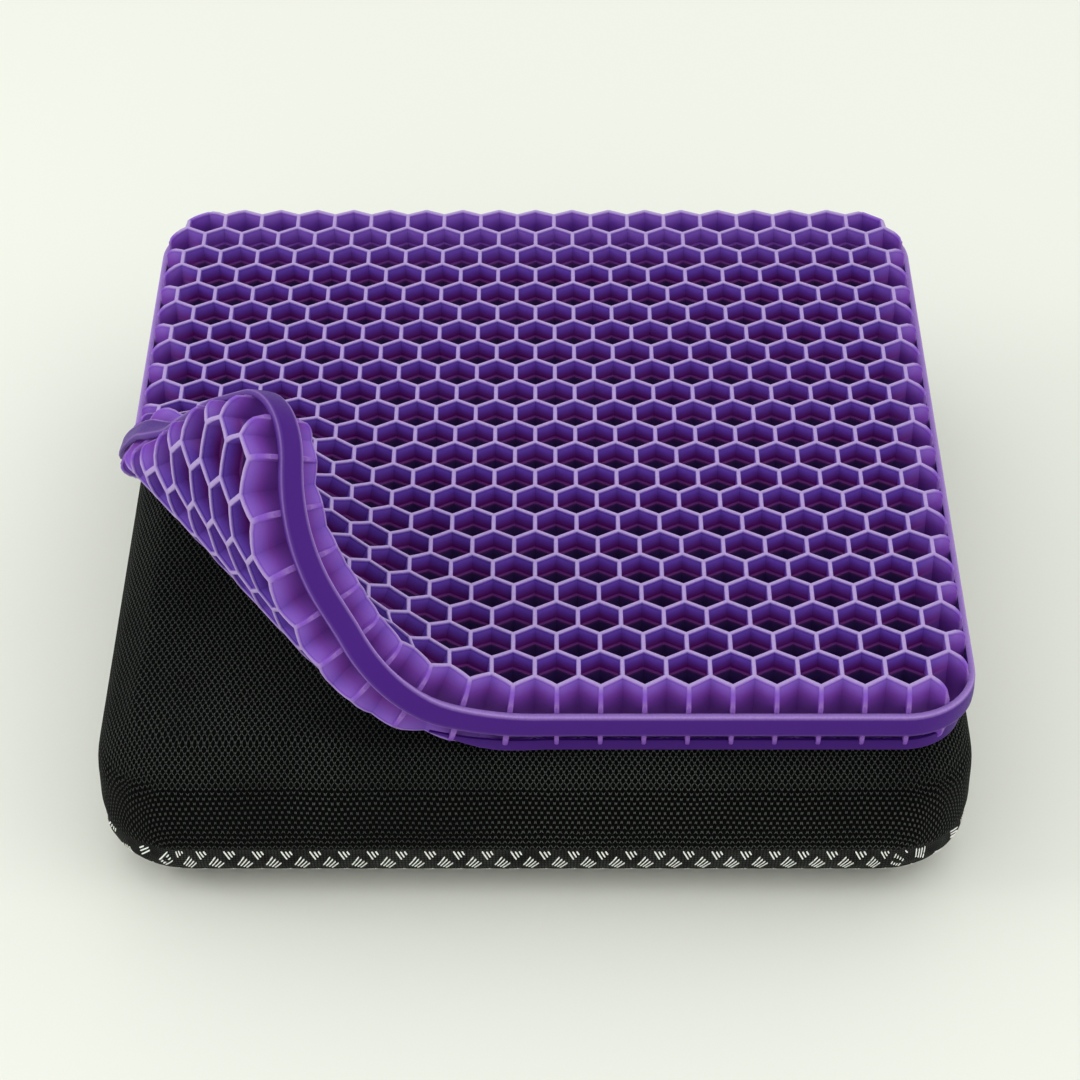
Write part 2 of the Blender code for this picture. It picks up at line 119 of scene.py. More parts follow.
# Cushion
cover_low, cover_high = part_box("cover_top")
BASE_HEIGHT = cover_high.z / MM
BASE_HALF_WIDTH = cover_high.x / MM
BASE_FRONT = cover_low.y / MM
BASE_BACK = cover_high.y / MM
SEAM_LIFT = 3.6
SEAM_Z = cover_low.z / MM + SEAM_LIFT
SEAM_WIDTH = 1.9
SEAM_DEPTH = 1.1
PAD_Z = BASE_HEIGHT + PAD_CLEAR
BASE_CORNER = 40.0
BASE_CORNER_LEAST = 14.0
TOP_ROUND = 22.0
BOTTOM_ROUND = 36.0
VOXEL = 6.0
SWELL_FRAMES = 20
SWELL_PRESSURE = 4.0
SWELL_CAP = 2.6
SINK_CAP = 0.9
START_INSET = 1.2
CORE_INSET = 6.5
CLOTH = 1.5
CROWN = 2.5
ZIP_X = 150.0
ZIP_LOW = 43.0
ZIP_HIGH = 63.0
STITCH_PITCH = 3.4
STITCH_OUT = 3.0

# Grip dashes printed on the underside
DASH_PITCH = 14.1
DASH_SHIFT = 5.15
DASH_ROW = 11.3
DASH_FIRST_ROW = -226.2
DASH_HALF = (1.8, 4.0)
DASH_STEP = (1.3, 1.75)
DASH_HALF_WIDTH = 0.36
DASH_RISE = 0.34
DASH_LIMIT = 84.5
DASH_BREAK = 5.0


# ---------------------------------------------------------------- small tools

def make_object(name, verts, faces, materials, attributes=None, sharp=None):
    """One object from millimetre coordinates, with normals out and smooth faces."""
    mesh = bpy.data.meshes.new(name)
    mesh.from_pydata((np.asarray(verts, dtype=float) * MM).tolist(), [], faces)
    for key, values in (attributes or {}).items():
        layer = mesh.attributes.new(key, "FLOAT", "POINT")
        layer.data.foreach_set("value", np.asarray(values, dtype=np.float32))
    finish_mesh(mesh, sharp)
    item = bpy.data.objects.new(name, mesh)
    bpy.context.scene.collection.objects.link(item)
    for material in materials:
        mesh.materials.append(material)
    return item


def finish_mesh(mesh, sharp=None, recalculate=True):
    if recalculate:
        bm = bmesh.new()
        bm.from_mesh(mesh)
        bmesh.ops.recalc_face_normals(bm, faces=bm.faces[:])
        bm.to_mesh(mesh)
        bm.free()
    mesh.polygons.foreach_set("use_smooth", [True] * len(mesh.polygons))
    if sharp is not None:
        mesh.set_sharp_from_angle(angle=math.radians(sharp))
    mesh.update()


def smoothstep(low, high, value):
    t = np.clip((value - low) / (high - low), 0.0, 1.0)
    return t * t * (3 - 2 * t)


class Graph:
    """A material's node tree, built with short calls."""

    def __init__(self, name):
        self.material = bpy.data.materials.new(name)
        self.material.use_nodes = True
        self.tree = self.material.node_tree
        self.shader = self.tree.nodes["Principled BSDF"]

    def node(self, kind, **settings):
        made = self.tree.nodes.new(kind)
        for key, value in settings.items():
            setattr(made, key, value)
        return made

    def put(self, socket, value):
        if isinstance(value, bpy.types.NodeSocket):
            self.tree.links.new(value, socket)
        elif value is not None:
            socket.default_value = value

    def math(self, operation, first, second=None, third=None):
        made = self.node("ShaderNodeMath", operation=operation)
        for socket, value in zip(made.inputs, (first, second, third)):
            self.put(socket, value)
        return made.outputs[0]

    def value(self, name):
        return self.node("ShaderNodeAttribute", attribute_name=name).outputs["Fac"]

    def vector(self, name):
        return self.node("ShaderNodeAttribute", attribute_name=name).outputs["Vector"]

    def split(self, vector):
        made = self.node("ShaderNodeSeparateXYZ")
        self.put(made.inputs[0], vector)
        return made.outputs

    def ramp(self, factor, low, high, out_low=0.0, out_high=1.0):
        made = self.node("ShaderNodeMapRange", interpolation_type="SMOOTHSTEP")
        for socket, value in zip(made.inputs, (factor, low, high, out_low, out_high)):
            self.put(socket, value)
        return made.outputs[0]

    def mix(self, factor, first, second, blend="MIX"):
        made = self.node("ShaderNodeMix", data_type="RGBA", blend_type=blend)
        self.put(made.inputs["Factor"], factor)
        self.put(made.inputs[6], (*first, 1.0) if isinstance(first, tuple) else first)
        self.put(made.inputs[7], (*second, 1.0) if isinstance(second, tuple) else second)
        return made.outputs[2]

    def noise(self, scale, detail=3.0, vector=None):
        made = self.node("ShaderNodeTexNoise")
        if vector is None:
            vector = self.node("ShaderNodeTexCoord").outputs["Object"]
        self.put(made.inputs["Vector"], vector)
        made.inputs["Scale"].default_value = scale
        made.inputs["Detail"].default_value = detail
        return made.outputs["Fac"]

    def bump(self, height, distance, strength=1.0):
        made = self.node("ShaderNodeBump")
        made.inputs["Strength"].default_value = strength
        made.inputs["Distance"].default_value = distance
        self.put(made.inputs["Height"], height)
        self.put(self.shader.inputs["Normal"], made.outputs[0])

    def set(self, **sockets):
        for name, value in sockets.items():
            self.put(self.shader.inputs[name.replace("_", " ")], value)
        return self


# ---------------------------------------------------------------- materials

def gel_material(name, wall, painted_shade, glow, through_light_and_cloud, rim):
    """Translucent elastic gel: purple walls, painted shade at mid-height in the cells, a painted
    magenta glow round the belt, painted light through the outer and back walls and a painted highlight
    along the wall tops.
    """
    g = Graph(name)
    height = g.value("height")
    edge = g.value("rim")
    from_belt = g.math("ABSOLUTE", g.math("SUBTRACT", height, 0.5))
    cloud = g.noise(38.0, 2.0)
    # Painted glow: a magenta tint of light scattered round the belt, between the wall tops and
    # mid-height
    colour = g.mix(g.ramp(from_belt, 0.26, 0.44), glow, wall)
    # Painted shade at mid-height inside the cells, weaker near the outline
    through_light = g.value("through_light")
    inner = g.math("SUBTRACT", 1.0, g.math("MULTIPLY", through_light, 0.85))
    colour = g.mix(g.math("MULTIPLY", g.ramp(from_belt, 0.24, 0.20), inner), colour, painted_shade)
    # A faint random cloud of tone toward the same colour as the painted through-light
    colour = g.mix(g.ramp(cloud, 0.25, 0.75, 0.0, 0.08), colour, through_light_and_cloud)
    # Painted light coming through the outer walls and the back rows
    lit = g.math("MULTIPLY", through_light, g.ramp(from_belt, 0.1, 0.42, 0.55, 0.8))
    colour = g.mix(lit, colour, through_light_and_cloud)
    # Painted highlight along the wall tops, from the rim attribute
    fine = g.noise(900.0, 2.0)
    colour = g.mix(g.math("MULTIPLY", edge, g.ramp(fine, 0.2, 0.8, 0.8, 1.0)), colour, rim)
    rough = g.math("ADD", g.ramp(fine, 0.3, 0.7, 0.34, 0.46), g.math("MULTIPLY", cloud, 0.1))
    g.set(Base_Color=colour, Roughness=rough, IOR=1.43, Subsurface_Weight=0.15,
          Subsurface_Radius=(0.55, 0.22, 1.0), Subsurface_Scale=0.004, Specular_IOR_Level=0.14)
    g.bump(g.math("ADD", g.math("MULTIPLY", fine, 0.25), g.noise(140.0, 2.0)), 0.0002, 0.5)
    return g.material


def knit_material():
    """Black warp knit: strands that part and meet, leaving long staggered holes."""
    g = Graph("knit_mesh")
    place = g.split(g.vector("knit"))
    wander = g.noise(16.0, 2.0)
    across = g.math("ADD", place[0], g.math("MULTIPLY", wander, 2.2))
    across = g.math("ADD", across, g.math("MULTIPLY", g.noise(190.0, 1.0), 1.1))
    along = g.math("ADD", place[1], g.math("MULTIPLY", g.noise(23.0, 1.0), 3.0))
    along = g.math("ADD", along, g.math("MULTIPLY", g.noise(160.0, 1.0), 1.6))
    spacing = 1.5
    loop = 6.2
    sway = 0.44
    folded = g.math("PINGPONG", across, spacing)
    half = g.math("FRACT", g.math("MULTIPLY", across, 0.5 / spacing))
    side = g.math("SUBTRACT", g.math("MULTIPLY", g.math("LESS_THAN", half, 0.5), 2.0), 1.0)
    wave = g.math("SINE", g.math("MULTIPLY", along, 2 * math.pi / loop))
    wave = g.ramp(wave, -0.85, 0.85, -1.0, 1.0)
    shift = g.math("MULTIPLY", g.math("MULTIPLY", side, wave), sway)
    even = g.math("ABSOLUTE", g.math("SUBTRACT", folded, shift))
    odd = g.math("ABSOLUTE", g.math("SUBTRACT", g.math("SUBTRACT", spacing, folded), shift))
    away = g.math("MINIMUM", even, odd)
    strand = g.ramp(away, 0.38, 0.08)
    steep = g.split(g.node("ShaderNodeNewGeometry").outputs["Normal"])[2]
    steep = g.ramp(g.math("ABSOLUTE", steep), 0.72, 0.4)
    twist = g.math("SINE", g.math("MULTIPLY", along, 2 * math.pi / 2.07))
    rows = g.math("SINE", g.math("MULTIPLY", along, 2 * math.pi / 3.3))
    twist = g.math("ADD", g.math("MULTIPLY", g.ramp(twist, -1.0, 0.6, 0.25, 1.0),
                                 g.math("SUBTRACT", 1.0, steep)),
                   g.math("MULTIPLY", g.ramp(rows, -0.3, 0.5, 0.04, 1.0), steep))
    lift = g.math("MULTIPLY", strand, twist)
    # Broad random mottling of the yarn colour: painted sheen and soft wrinkle shade, placed at random
    sheen_and_shade_mottle = g.ramp(g.noise(11.0, 3.0), 0.36, 0.66, 0.5, 1.0)
    yarn = g.mix(sheen_and_shade_mottle, (0.018, 0.021, 0.020), (0.102, 0.114, 0.100))
    colour = g.mix(lift, (0.0006, 0.0007, 0.0007), yarn)
    g.set(Base_Color=colour, Roughness=g.ramp(lift, 0.0, 1.0, 0.95, 0.62), Sheen_Weight=0.01,
          Sheen_Roughness=0.4, Specular_IOR_Level=0.05)
    g.bump(lift, 0.0006, 0.9)
    return g.material


def grip_material():
    """Black woven cloth of the underside, in fine rows."""
    g = Graph("grip_cloth")
    place = g.split(g.vector("knit"))
    rows = g.math("ABSOLUTE", g.math("SINE", g.math("MULTIPLY", place[1], math.pi / 1.3)))
    stitch = g.math("ABSOLUTE", g.math("SINE", g.math("MULTIPLY", place[0], math.pi / 1.6)))
    weave = g.math("MULTIPLY", rows, g.ramp(stitch, 0.1, 0.9, 0.4, 1.0))
    fluff = g.noise(80.0, 4.0)
    colour = g.mix(g.math("MULTIPLY", weave, g.ramp(fluff, 0.3, 0.7, 0.4, 1.0)),
                   (0.0012, 0.0012, 0.0012), (0.045, 0.048, 0.043))
    g.set(Base_Color=colour, Roughness=g.ramp(weave, 0.0, 1.0, 0.95, 0.7), Sheen_Weight=0.01,
          Sheen_Roughness=0.4, Specular_IOR_Level=0.06)
    g.bump(weave, 0.0004, 0.8)
    return g.material


def dash_material():
    g = Graph("grip_print")
    speck = g.noise(420.0, 3.0)
    colour = g.mix(g.ramp(speck, 0.3, 0.7), (0.88, 0.88, 0.83), (0.96, 0.96, 0.92))
    g.set(Base_Color=colour, Roughness=g.ramp(speck, 0.3, 0.7, 0.38, 0.55),
          Subsurface_Weight=0.1, Subsurface_Scale=0.001)
    g.bump(speck, 0.0001, 0.6)
    return g.material


def foam_material():
    g = Graph("open_foam")
    pores = g.node("ShaderNodeTexVoronoi", feature="DISTANCE_TO_EDGE")
    g.put(pores.inputs["Vector"], g.node("ShaderNodeTexCoord").outputs["Object"])
    pores.inputs["Scale"].default_value = 650.0
    # Pore centres drawn darker than the struts: painted shade in the pores
    wall = g.ramp(pores.outputs["Distance"], 0.0, 0.3)
    colour = g.mix(wall, (0.80, 0.77, 0.64), (0.50, 0.46, 0.34))
    colour = g.mix(g.ramp(g.noise(9.0), 0.3, 0.7, 0.0, 0.35), colour, (0.74, 0.66, 0.46))
    g.set(Base_Color=colour, Roughness=g.ramp(wall, 0.0, 1.0, 0.85, 1.0))
    g.bump(g.math("SUBTRACT", 1.0, wall), 0.0008, 0.9)
    return g.material


def tape_material():
    g = Graph("zip_tape_weave")
    place = g.split(g.node("ShaderNodeTexCoord").outputs["Object"])
    rib = g.math("SINE", g.math("MULTIPLY", g.math("ADD", place[0], place[2]), 5200.0))
    cross = g.math("SINE", g.math("MULTIPLY", g.math("SUBTRACT", place[0], place[2]), 5200.0))
    weave = g.ramp(g.math("MULTIPLY", rib, cross), -0.8, 0.8)
    colour = g.mix(weave, (0.006, 0.006, 0.006), (0.035, 0.035, 0.037))
    g.set(Base_Color=colour, Roughness=g.ramp(weave, 0.0, 1.0, 0.9, 0.7), Sheen_Weight=0.1)
    g.bump(weave, 0.0003, 0.8)
    return g.material


def nylon_material():
    g = Graph("nylon_teeth")
    wear = g.noise(300.0, 4.0)
    colour = g.mix(g.ramp(wear, 0.4, 0.7), (0.018, 0.018, 0.020), (0.05, 0.05, 0.053))
    g.set(Base_Color=colour, Roughness=g.ramp(wear, 0.3, 0.7, 0.28, 0.5))
    g.bump(wear, 0.0001, 0.5)
    return g.material


def metal_material():
    g = Graph("plated_zinc")
    wear = g.noise(240.0, 5.0)
    scratch = g.noise(1500.0, 2.0)
    colour = g.mix(g.ramp(wear, 0.35, 0.7), (0.20, 0.20, 0.21), (0.42, 0.42, 0.43))
    rough = g.math("ADD", g.ramp(wear, 0.3, 0.7, 0.2, 0.38), g.math("MULTIPLY", scratch, 0.1))
    g.set(Base_Color=colour, Roughness=rough, Metallic=1.0)
    g.bump(scratch, 0.00005, 0.5)
    return g.material


def floor_material():
    g = Graph("studio_floor")
    soft = g.noise(0.8, 1.0)
    colour = g.mix(g.ramp(soft, 0.2, 0.8), (0.81, 0.82, 0.745), (0.84, 0.85, 0.775))
    g.set(Base_Color=colour, Roughness=g.ramp(soft, 0.0, 1.0, 0.6, 0.7), Specular_IOR_Level=0.2)
    return g.material


# ---------------------------------------------------------------- pad plan

def outline_depth(x, y):
    """Distance inside the pad's rounded outline, negative outside it."""
    qx = np.abs(x) - (PAD_HALF_WIDTH - PAD_CORNER)
    qy = np.abs(y - (PAD_BACK + PAD_FRONT) / 2) - ((PAD_BACK - PAD_FRONT) / 2 - PAD_CORNER)
    outside = np.hypot(np.maximum(qx, 0.0), np.maximum(qy, 0.0))
    return PAD_CORNER - outside - np.minimum(np.maximum(qx, qy), 0.0)


def outline_along(x, y):
    step = 0.01
    slope_x = outline_depth(x + step, y) - outline_depth(x - step, y)
    slope_y = outline_depth(x, y + step) - outline_depth(x, y - step)
    return np.array((-slope_y, slope_x)) / np.hypot(slope_x, slope_y)


def rounding(depth):
    """How far the edge round takes the rim down, and how steep it is there."""
    inset = min(max(PAD_EDGE_ROUND - depth, 0.0), PAD_EDGE_ROUND)
    level = math.sqrt(PAD_EDGE_ROUND ** 2 - inset ** 2)
    return PAD_EDGE_ROUND - level, min(PAD_EDGE_ROUND / max(level, 0.1), 2.2)


def comb_lines():
    """Centre lines of all honeycomb walls, before the outline trims them."""
    lines = []
    span = CELLS_ACROSS // 2
    for row in range(-1, ROWS + 1):
        y = FIRST_ROW_Y - row * ROW_PITCH
        shift = 0.5 if row % 2 == 0 else 0.0
        for step in range(-span, span + 1):
            x = (step + shift) * CELL
            if abs(x) <= (span - 0.25) * CELL:
                lines.append(((x, y + SIDE / 2), (x, y - SIDE / 2)))
        if row == ROWS:
            continue
        for step in range(-span - 1, span + 1):
            x = (step + shift) * CELL
            for reach in (-CELL / 2, CELL / 2):
                lines.append(((x, y - SIDE / 2), (x + reach, y - SIDE)))
    return lines


def clip_line(first, second):
    """Trim a line to the outline; None if too little of it lies inside."""
    a = np.array(first)
    b = np.array(second)
    steps = np.linspace(0.0, 1.0, CLIP_STEPS)
    points = a + (b - a) * steps[:, None]
    inside = np.nonzero(outline_depth(points[:, 0], points[:, 1]) > 0)[0]
    if len(inside) == 0:
        return None
    a, b = points[inside[0]], points[inside[-1]]
    if np.hypot(*(b - a)) < MIN_STUB:
        return None
    return a, b


def near_bend(x, y):
    for px, py, heading, _, _ in BENDS:
        angle = math.radians(heading)
        reach = (x - px) * math.sin(angle) - (y - py) * math.cos(angle)
        if abs(reach) < BEND_HALF_WIDTH + BEND_MARGIN:
            return True
    return False


def wall_stations(a, b):
    """Places along a wall where its mesh needs a section."""
    steps = STATION_STEPS
    length = math.hypot(*(b - a))
    drops = [rounding(outline_depth(*(a + (b - a) * i / steps)))[0] for i in range(steps + 1)]
    pitch = BEND_STATION if near_bend(*((a + b) / 2)) else FLAT_STATION
    kept = [0]
    for i in range(1, steps):
        far = (i - kept[-1]) * length / steps
        left = (steps - i) * length / steps
        dropped = abs(drops[i] - drops[kept[-1]]) > STATION_DROP
        if (dropped or far >= pitch) and left > LEAST_STATION:
            kept.append(i)
    return [i / steps for i in kept] + [1.0]


def level_table(depth):
    """Heights, half thicknesses and painted rim highlight of one wall section, top to bottom."""
    drop, steep = rounding(depth)
    top = PAD_HEIGHT - drop
    belt_top = min(BELT_TOP, top - 2.2)
    steep = min(steep, (top - belt_top - 0.1) / RIM_LEVELS[-1][0])
    # The painted rim highlight fades where the edge round takes the rim down
    rim_highlight_share = 1.0 - 0.88 * float(smoothstep(0.5, 3.2, drop))
    upper = [(top - down * steep, half, rim * rim_highlight_share) for down, half, rim in RIM_LEVELS]
    ledge = BELT_LEDGE * float(smoothstep(12.0, 15.0, depth))
    # The ledge line gets a little painted highlight
    upper += [(belt_top, WALL_HALF, 0.0), (belt_top - BELT_SLOPE, WALL_HALF + ledge, 0.12 * ledge)]
    return upper + [(PAD_HEIGHT - z, half, rim) for z, half, rim in reversed(upper)]


def comb_parts():
    """Verts, faces, painted rim highlight and height of the whole comb, as one net of moulded walls.
    """
    points = {}
    ways = {}
    walls = []
    for first, second in comb_lines():
        kept = clip_line(first, second)
        if kept is None:
            continue
        keys = [(round(p[0], 1), round(p[1], 1)) for p in kept]
        for key, point in zip(keys, kept):
            points.setdefault(key, point)
            ways.setdefault(key, [])
        ways[keys[0]].append(keys[1])
        ways[keys[1]].append(keys[0])
        walls.append(keys)

    verts = []
    rim_highlights = []
    faces = []
    levels = 2 * (len(RIM_LEVELS) + 2)

    def column(offsets_at, depth, scale=1.0, least=0.0):
        """Add one vertical run of vertices; returns its first index."""
        start = len(verts)
        for z, half, rim in level_table(depth):
            x, y = offsets_at(half * scale)
            verts.append((x, y, z))
            rim_highlights.append(max(rim, least))
        return start

    left = {}
    right = {}
    for key, others in ways.items():
        if len(others) == 1:
            continue
        here = points[key]
        depth = float(outline_depth(*here))
        headings = sorted((math.atan2(*(points[o] - here)[::-1]), o) for o in others)
        ring = []
        for place, (start, other) in enumerate(headings):
            stop, following = headings[(place + 1) % len(headings)]
            span = (stop - start) % (2 * math.pi)
            middle = start + span / 2
            reach = 1 / max(math.sin(span / 2), 0.3)
            toward = np.array((math.cos(middle), math.sin(middle)))
            index = column(lambda half: here + toward * half * reach, depth)
            left[(key, other)] = index
            right[(key, following)] = index
            ring.append(index)
        if len(ring) > 2:
            faces.append(ring)
            faces.append([i + levels - 1 for i in reversed(ring)])

    for key_a, key_b in walls:
        a, b = points[key_a], points[key_b]
        along = (b - a) / np.hypot(*(b - a))
        across = np.array((-along[1], along[0]))
        sections = []
        stations = wall_stations(a, b)
        for place, t in enumerate(stations):
            point = a + (b - a) * t
            depth = float(outline_depth(*point))
            first, last = place == 0, place == len(stations) - 1
            key, other = (key_a, key_b) if first else (key_b, key_a)
            if (first or last) and len(ways[key]) > 1:
                pair = (left[(key, other)], right[(key, other)])
                sections.append(pair if first else pair[::-1])
                continue
            slope = 0.0
            if (first or last) and depth < 0.6:
                cut = outline_along(*point)
                slope = -(across[0] * cut[1] - across[1] * cut[0])
                slope /= along[0] * cut[1] - along[1] * cut[0]
                slope = max(-MAX_SKEW, min(MAX_SKEW, slope))
            shifts = ((0.0, 1.0, 0.0),)
            if last:
                shifts = ((-END_INSET, 1.0, NEAR_END_HIGHLIGHT), (0.0, END_SHARE, END_HIGHLIGHT))
            if first:
                shifts = ((0.0, END_SHARE, END_HIGHLIGHT), (END_INSET, 1.0, NEAR_END_HIGHLIGHT))
            for shift, scale, least in shifts:
                base = point + along * shift
                pair = []
                for side in (1, -1):
                    step = across * side + along * slope * side
                    pair.append(column(lambda half: base + step * half, depth, scale, least))
                sections.append(tuple(pair))
        for (l0, r0), (l1, r1) in zip(sections, sections[1:]):
            faces.append([l0, l1, r1, r0])
            faces.append([i + levels - 1 for i in (r0, r1, l1, l0)])
            for level in range(levels - 1):
                faces.append([l0 + level, l1 + level, l1 + level + 1, l0 + level + 1])
                faces.append([r1 + level, r0 + level, r0 + level + 1, r1 + level + 1])
        for key, (l, r) in ((key_a, sections[0]), (key_b, sections[-1])):
            if len(ways[key]) == 1:
                for level in range(levels - 1):
                    faces.append([l + level, r + level, r + level + 1, l + level + 1])
    return verts, faces, rim_highlights


def outline_path(inset, step=5.0):
    """Points once round the outline, inset millimetres inside it, anticlockwise."""
    half_x = PAD_HALF_WIDTH - inset
    back = PAD_BACK - inset
    front = PAD_FRONT + inset
    radius = PAD_CORNER - inset
    centres = ((half_x - radius, front + radius, 270.0), (half_x - radius, back - radius, 0.0),
               (-half_x + radius, back - radius, 90.0), (-half_x + radius, front + radius, 180.0))
    path = []
    for i, (x, y, start) in enumerate(centres):
        for k in range(15):
            angle = math.radians(start + 90.0 * k / 14)
            path.append(np.array((x + radius * math.cos(angle), y + radius * math.sin(angle))))
        nx, ny, following = centres[(i + 1) % 4]
        turn = math.radians(following)
        goal = np.array((nx + radius * math.cos(turn), ny + radius * math.sin(turn)))
        count = int(np.hypot(*(goal - path[-1])) / step)
        origin = path[-1]
        path += [origin + (goal - origin) * j / count for j in range(1, count)]
    return path


def sweep(path, section, closed):
    """A solid along a level path.  A section point is (outwards, up, share of painted rim highlight).
    """
    verts = []
    rim_highlights = []
    faces = []
    count = len(section)
    total = len(path)
    for i, point in enumerate(path):
        before = path[i - 1] if closed or i > 0 else point
        after = path[(i + 1) % total] if closed or i < total - 1 else point
        along = (after - before) / np.hypot(*(after - before))
        outward = np.array((along[1], -along[0]))
        for out, up, rim in section:
            x, y = point + outward * out
            verts.append((x, y, up))
            rim_highlights.append(rim)
    for i in range(total if closed else total - 1):
        j = (i + 1) % total
        for k in range(count):
            n = (k + 1) % count
            faces.append([i * count + k, j * count + k, j * count + n, i * count + n])
    if not closed:
        faces.append(list(range(count)))
        faces.append([(total - 1) * count + k for k in reversed(range(count))])
    return verts, faces, rim_highlights


def bend_corner(verts):
    """Roll the front left corner up, as the CAD source does."""
    flat = np.asarray(verts, dtype=float)
    bent = flat.copy()
    for x, y, heading, turn, keep in reversed(BENDS):
        angle = math.radians(heading)
        along = np.array((math.cos(angle), math.sin(angle), 0.0))
        outward = np.array((along[1], -along[0], 0.0))
        middle = np.array((x, y, BEND_HEIGHT))
        share = smoothstep(-BEND_FADE, 0.0, (flat - middle) @ along + keep)
        full = np.maximum(math.radians(turn) * share, LEAST_TURN / 2)
        radius = 2 * BEND_HALF_WIDTH / full
        reach = (flat - middle) @ outward
        past = np.maximum(reach + BEND_HALF_WIDTH, 0.0)
        beyond = np.maximum(past - 2 * BEND_HALF_WIDTH, 0.0)
        spin = (past - beyond) / radius
        ahead = radius * np.sin(spin) + beyond * np.cos(full) - BEND_HALF_WIDTH
        rise = radius * (1 - np.cos(spin)) + beyond * np.sin(full)
        here = middle + outward * ahead[:, None]
        here[:, 2] += rise
        arm = bent - middle - outward * reach[:, None]
        cosine = np.cos(-spin)[:, None]
        sine = np.sin(-spin)[:, None]
        turned = arm * cosine + np.cross(along, arm) * sine
        turned += along * (arm @ along)[:, None] * (1 - cosine)
        moved = here + turned
        active = (past > 0) & (full > LEAST_TURN)
        bent[active] = moved[active]
    return bent


def pad_piece(name, parts, material, sharp):
    verts, faces, rim_highlights = parts
    verts = np.asarray(verts, dtype=float)
    height = verts[:, 2] / PAD_HEIGHT
    depth = outline_depth(verts[:, 0], verts[:, 1])
    # Painted light: lighter near the outline, where light comes through the outer walls, and in the
    # back rows
    back = BACK_LIGHT * smoothstep(BACK_LIGHT_START, PAD_BACK, verts[:, 1])
    through_light = np.maximum(smoothstep(20.0, 4.0, depth), back)
    verts[:, 2] += PAD_Z
    return make_object(name, bend_corner(verts), faces, [material],
                       {"rim": rim_highlights, "height": height, "through_light": through_light}, sharp)


def foot_parts():
    """The slim lip under the flat part of the pad, a little inside the band."""
    path = outline_path(FOOT_INSET)
    front_y = PAD_FRONT + FOOT_INSET + 0.01
    front = [i for i, p in enumerate(path) if p[1] < front_y and p[0] > FOOT_START]
    first = min(front, key=lambda i: path[i][0])
    path = path[first:] + path[:first]
    last = max(i for i, p in enumerate(path) if p[0] < 0 and p[1] > FOOT_END)
    half = FOOT_WIDTH / 2
    # Third values: painted highlight along the lip's lower edge
    section = [(half, 0.5, 0.5), (half, 1.1, 0.1), (half, FOOT_HEIGHT, 0.0),
               (-half, FOOT_HEIGHT, 0.0), (-half, 0.0, 0.0), (half - 0.5, 0.0, 0.4)]
    verts, faces, rim_highlights = sweep(path[:last + 1], section, False)
    lifted = []
    for x, y, z in verts:
        from_start = x - FOOT_START if y < 0 else FOOT_FADE
        from_end = y - FOOT_END if x < -100 else FOOT_FADE
        share = float(smoothstep(0.0, FOOT_FADE, min(from_start, from_end)))
        lifted.append((x, y, FOOT_HEIGHT - (FOOT_HEIGHT - z) * (0.06 + 0.94 * share)))
    return lifted, faces, rim_highlights


def band_parts():
    """The smooth belt round the pad, with rounded lips."""
    low = (PAD_HEIGHT - BAND_HEIGHT) / 2
    high = low + BAND_HEIGHT
    out = BAND_OUT
    # Third values: painted highlight on the band's lips
    section = [(-0.2, high, 0.5), (out - 0.9, high, 0.85), (out - 0.35, high - 0.2, 1.0),
               (out, high - 0.8, 0.5), (out + 0.12, high - 2.0, 0.0),
               (out + 0.25, PAD_HEIGHT / 2, 0.0),
               (out + 0.12, low + 2.0, 0.0), (out, low + 0.8, 0.1), (out - 0.35, low + 0.2, 0.5),
               (out - 0.9, low, 0.2), (-0.2, low, 0.0)]
    return sweep(outline_path(0.0), section, True)


# ---------------------------------------------------------------- cushion

def ring_points(inset, z, steps=10):
    half_x = BASE_HALF_WIDTH - inset
    back = BASE_BACK - inset
    front = BASE_FRONT + inset
    radius = max(BASE_CORNER - 0.65 * inset, BASE_CORNER_LEAST)
    centres = ((half_x - radius, back - radius, 0.0), (-half_x + radius, back - radius, 90.0),
               (-half_x + radius, front + radius, 180.0), (half_x - radius, front + radius, 270.0))
    points = []
    for x, y, start in centres:
        for step in range(steps + 1):
            angle = math.radians(start + 90.0 * step / steps)
            points.append((x + radius * math.cos(angle), y + radius * math.sin(angle), z))
    return points


def block_rings(inner):
    rings = []
    for angle in range(0, 91, 9):
        turn = math.radians(angle)
        rings.append(ring_points(BOTTOM_ROUND - (BOTTOM_ROUND - inner) * math.sin(turn),
                                 BOTTOM_ROUND - (BOTTOM_ROUND - inner) * math.cos(turn)))
    for angle in range(0, 91, 9):
        turn = math.radians(angle)
        rings.append(ring_points(TOP_ROUND - (TOP_ROUND - inner) * math.cos(turn),
                                 BASE_HEIGHT - TOP_ROUND + (TOP_ROUND - inner) * math.sin(turn)))
    return rings


def block_object(name, inner):
    """The closed block, remeshed to even faces."""
    rings = block_rings(inner)
    count = len(rings[0])
    verts = [p for ring in rings for p in ring]
    faces = []
    for low in range(len(rings) - 1):
        for i in range(count):
            j = (i + 1) % count
            below = low * count
            faces.append([below + i, below + j, below + count + j, below + count + i])
    faces.append(list(reversed(range(count))))
    faces.append([(len(rings) - 1) * count + i for i in range(count)])
    item = make_object(name, verts, faces, [])
    remesh = item.modifiers.new("even", "REMESH")
    remesh.mode = "VOXEL"
    remesh.voxel_size = VOXEL * MM
    return bake_modifiers(item)


def bake_modifiers(item):
    graph = bpy.context.evaluated_depsgraph_get()
    mesh = bpy.data.meshes.new_from_object(item.evaluated_get(graph), depsgraph=graph)
    item.modifiers.clear()
    item.data = mesh
    return item


def coordinates(mesh):
    values = np.empty(len(mesh.vertices) * 3)
    mesh.vertices.foreach_get("co", values)
    return values.reshape(-1, 3)


def vertex_normals(mesh):
    values = np.empty(len(mesh.vertices) * 3)
    mesh.vertices.foreach_get("normal", values)
    return values.reshape(-1, 3)


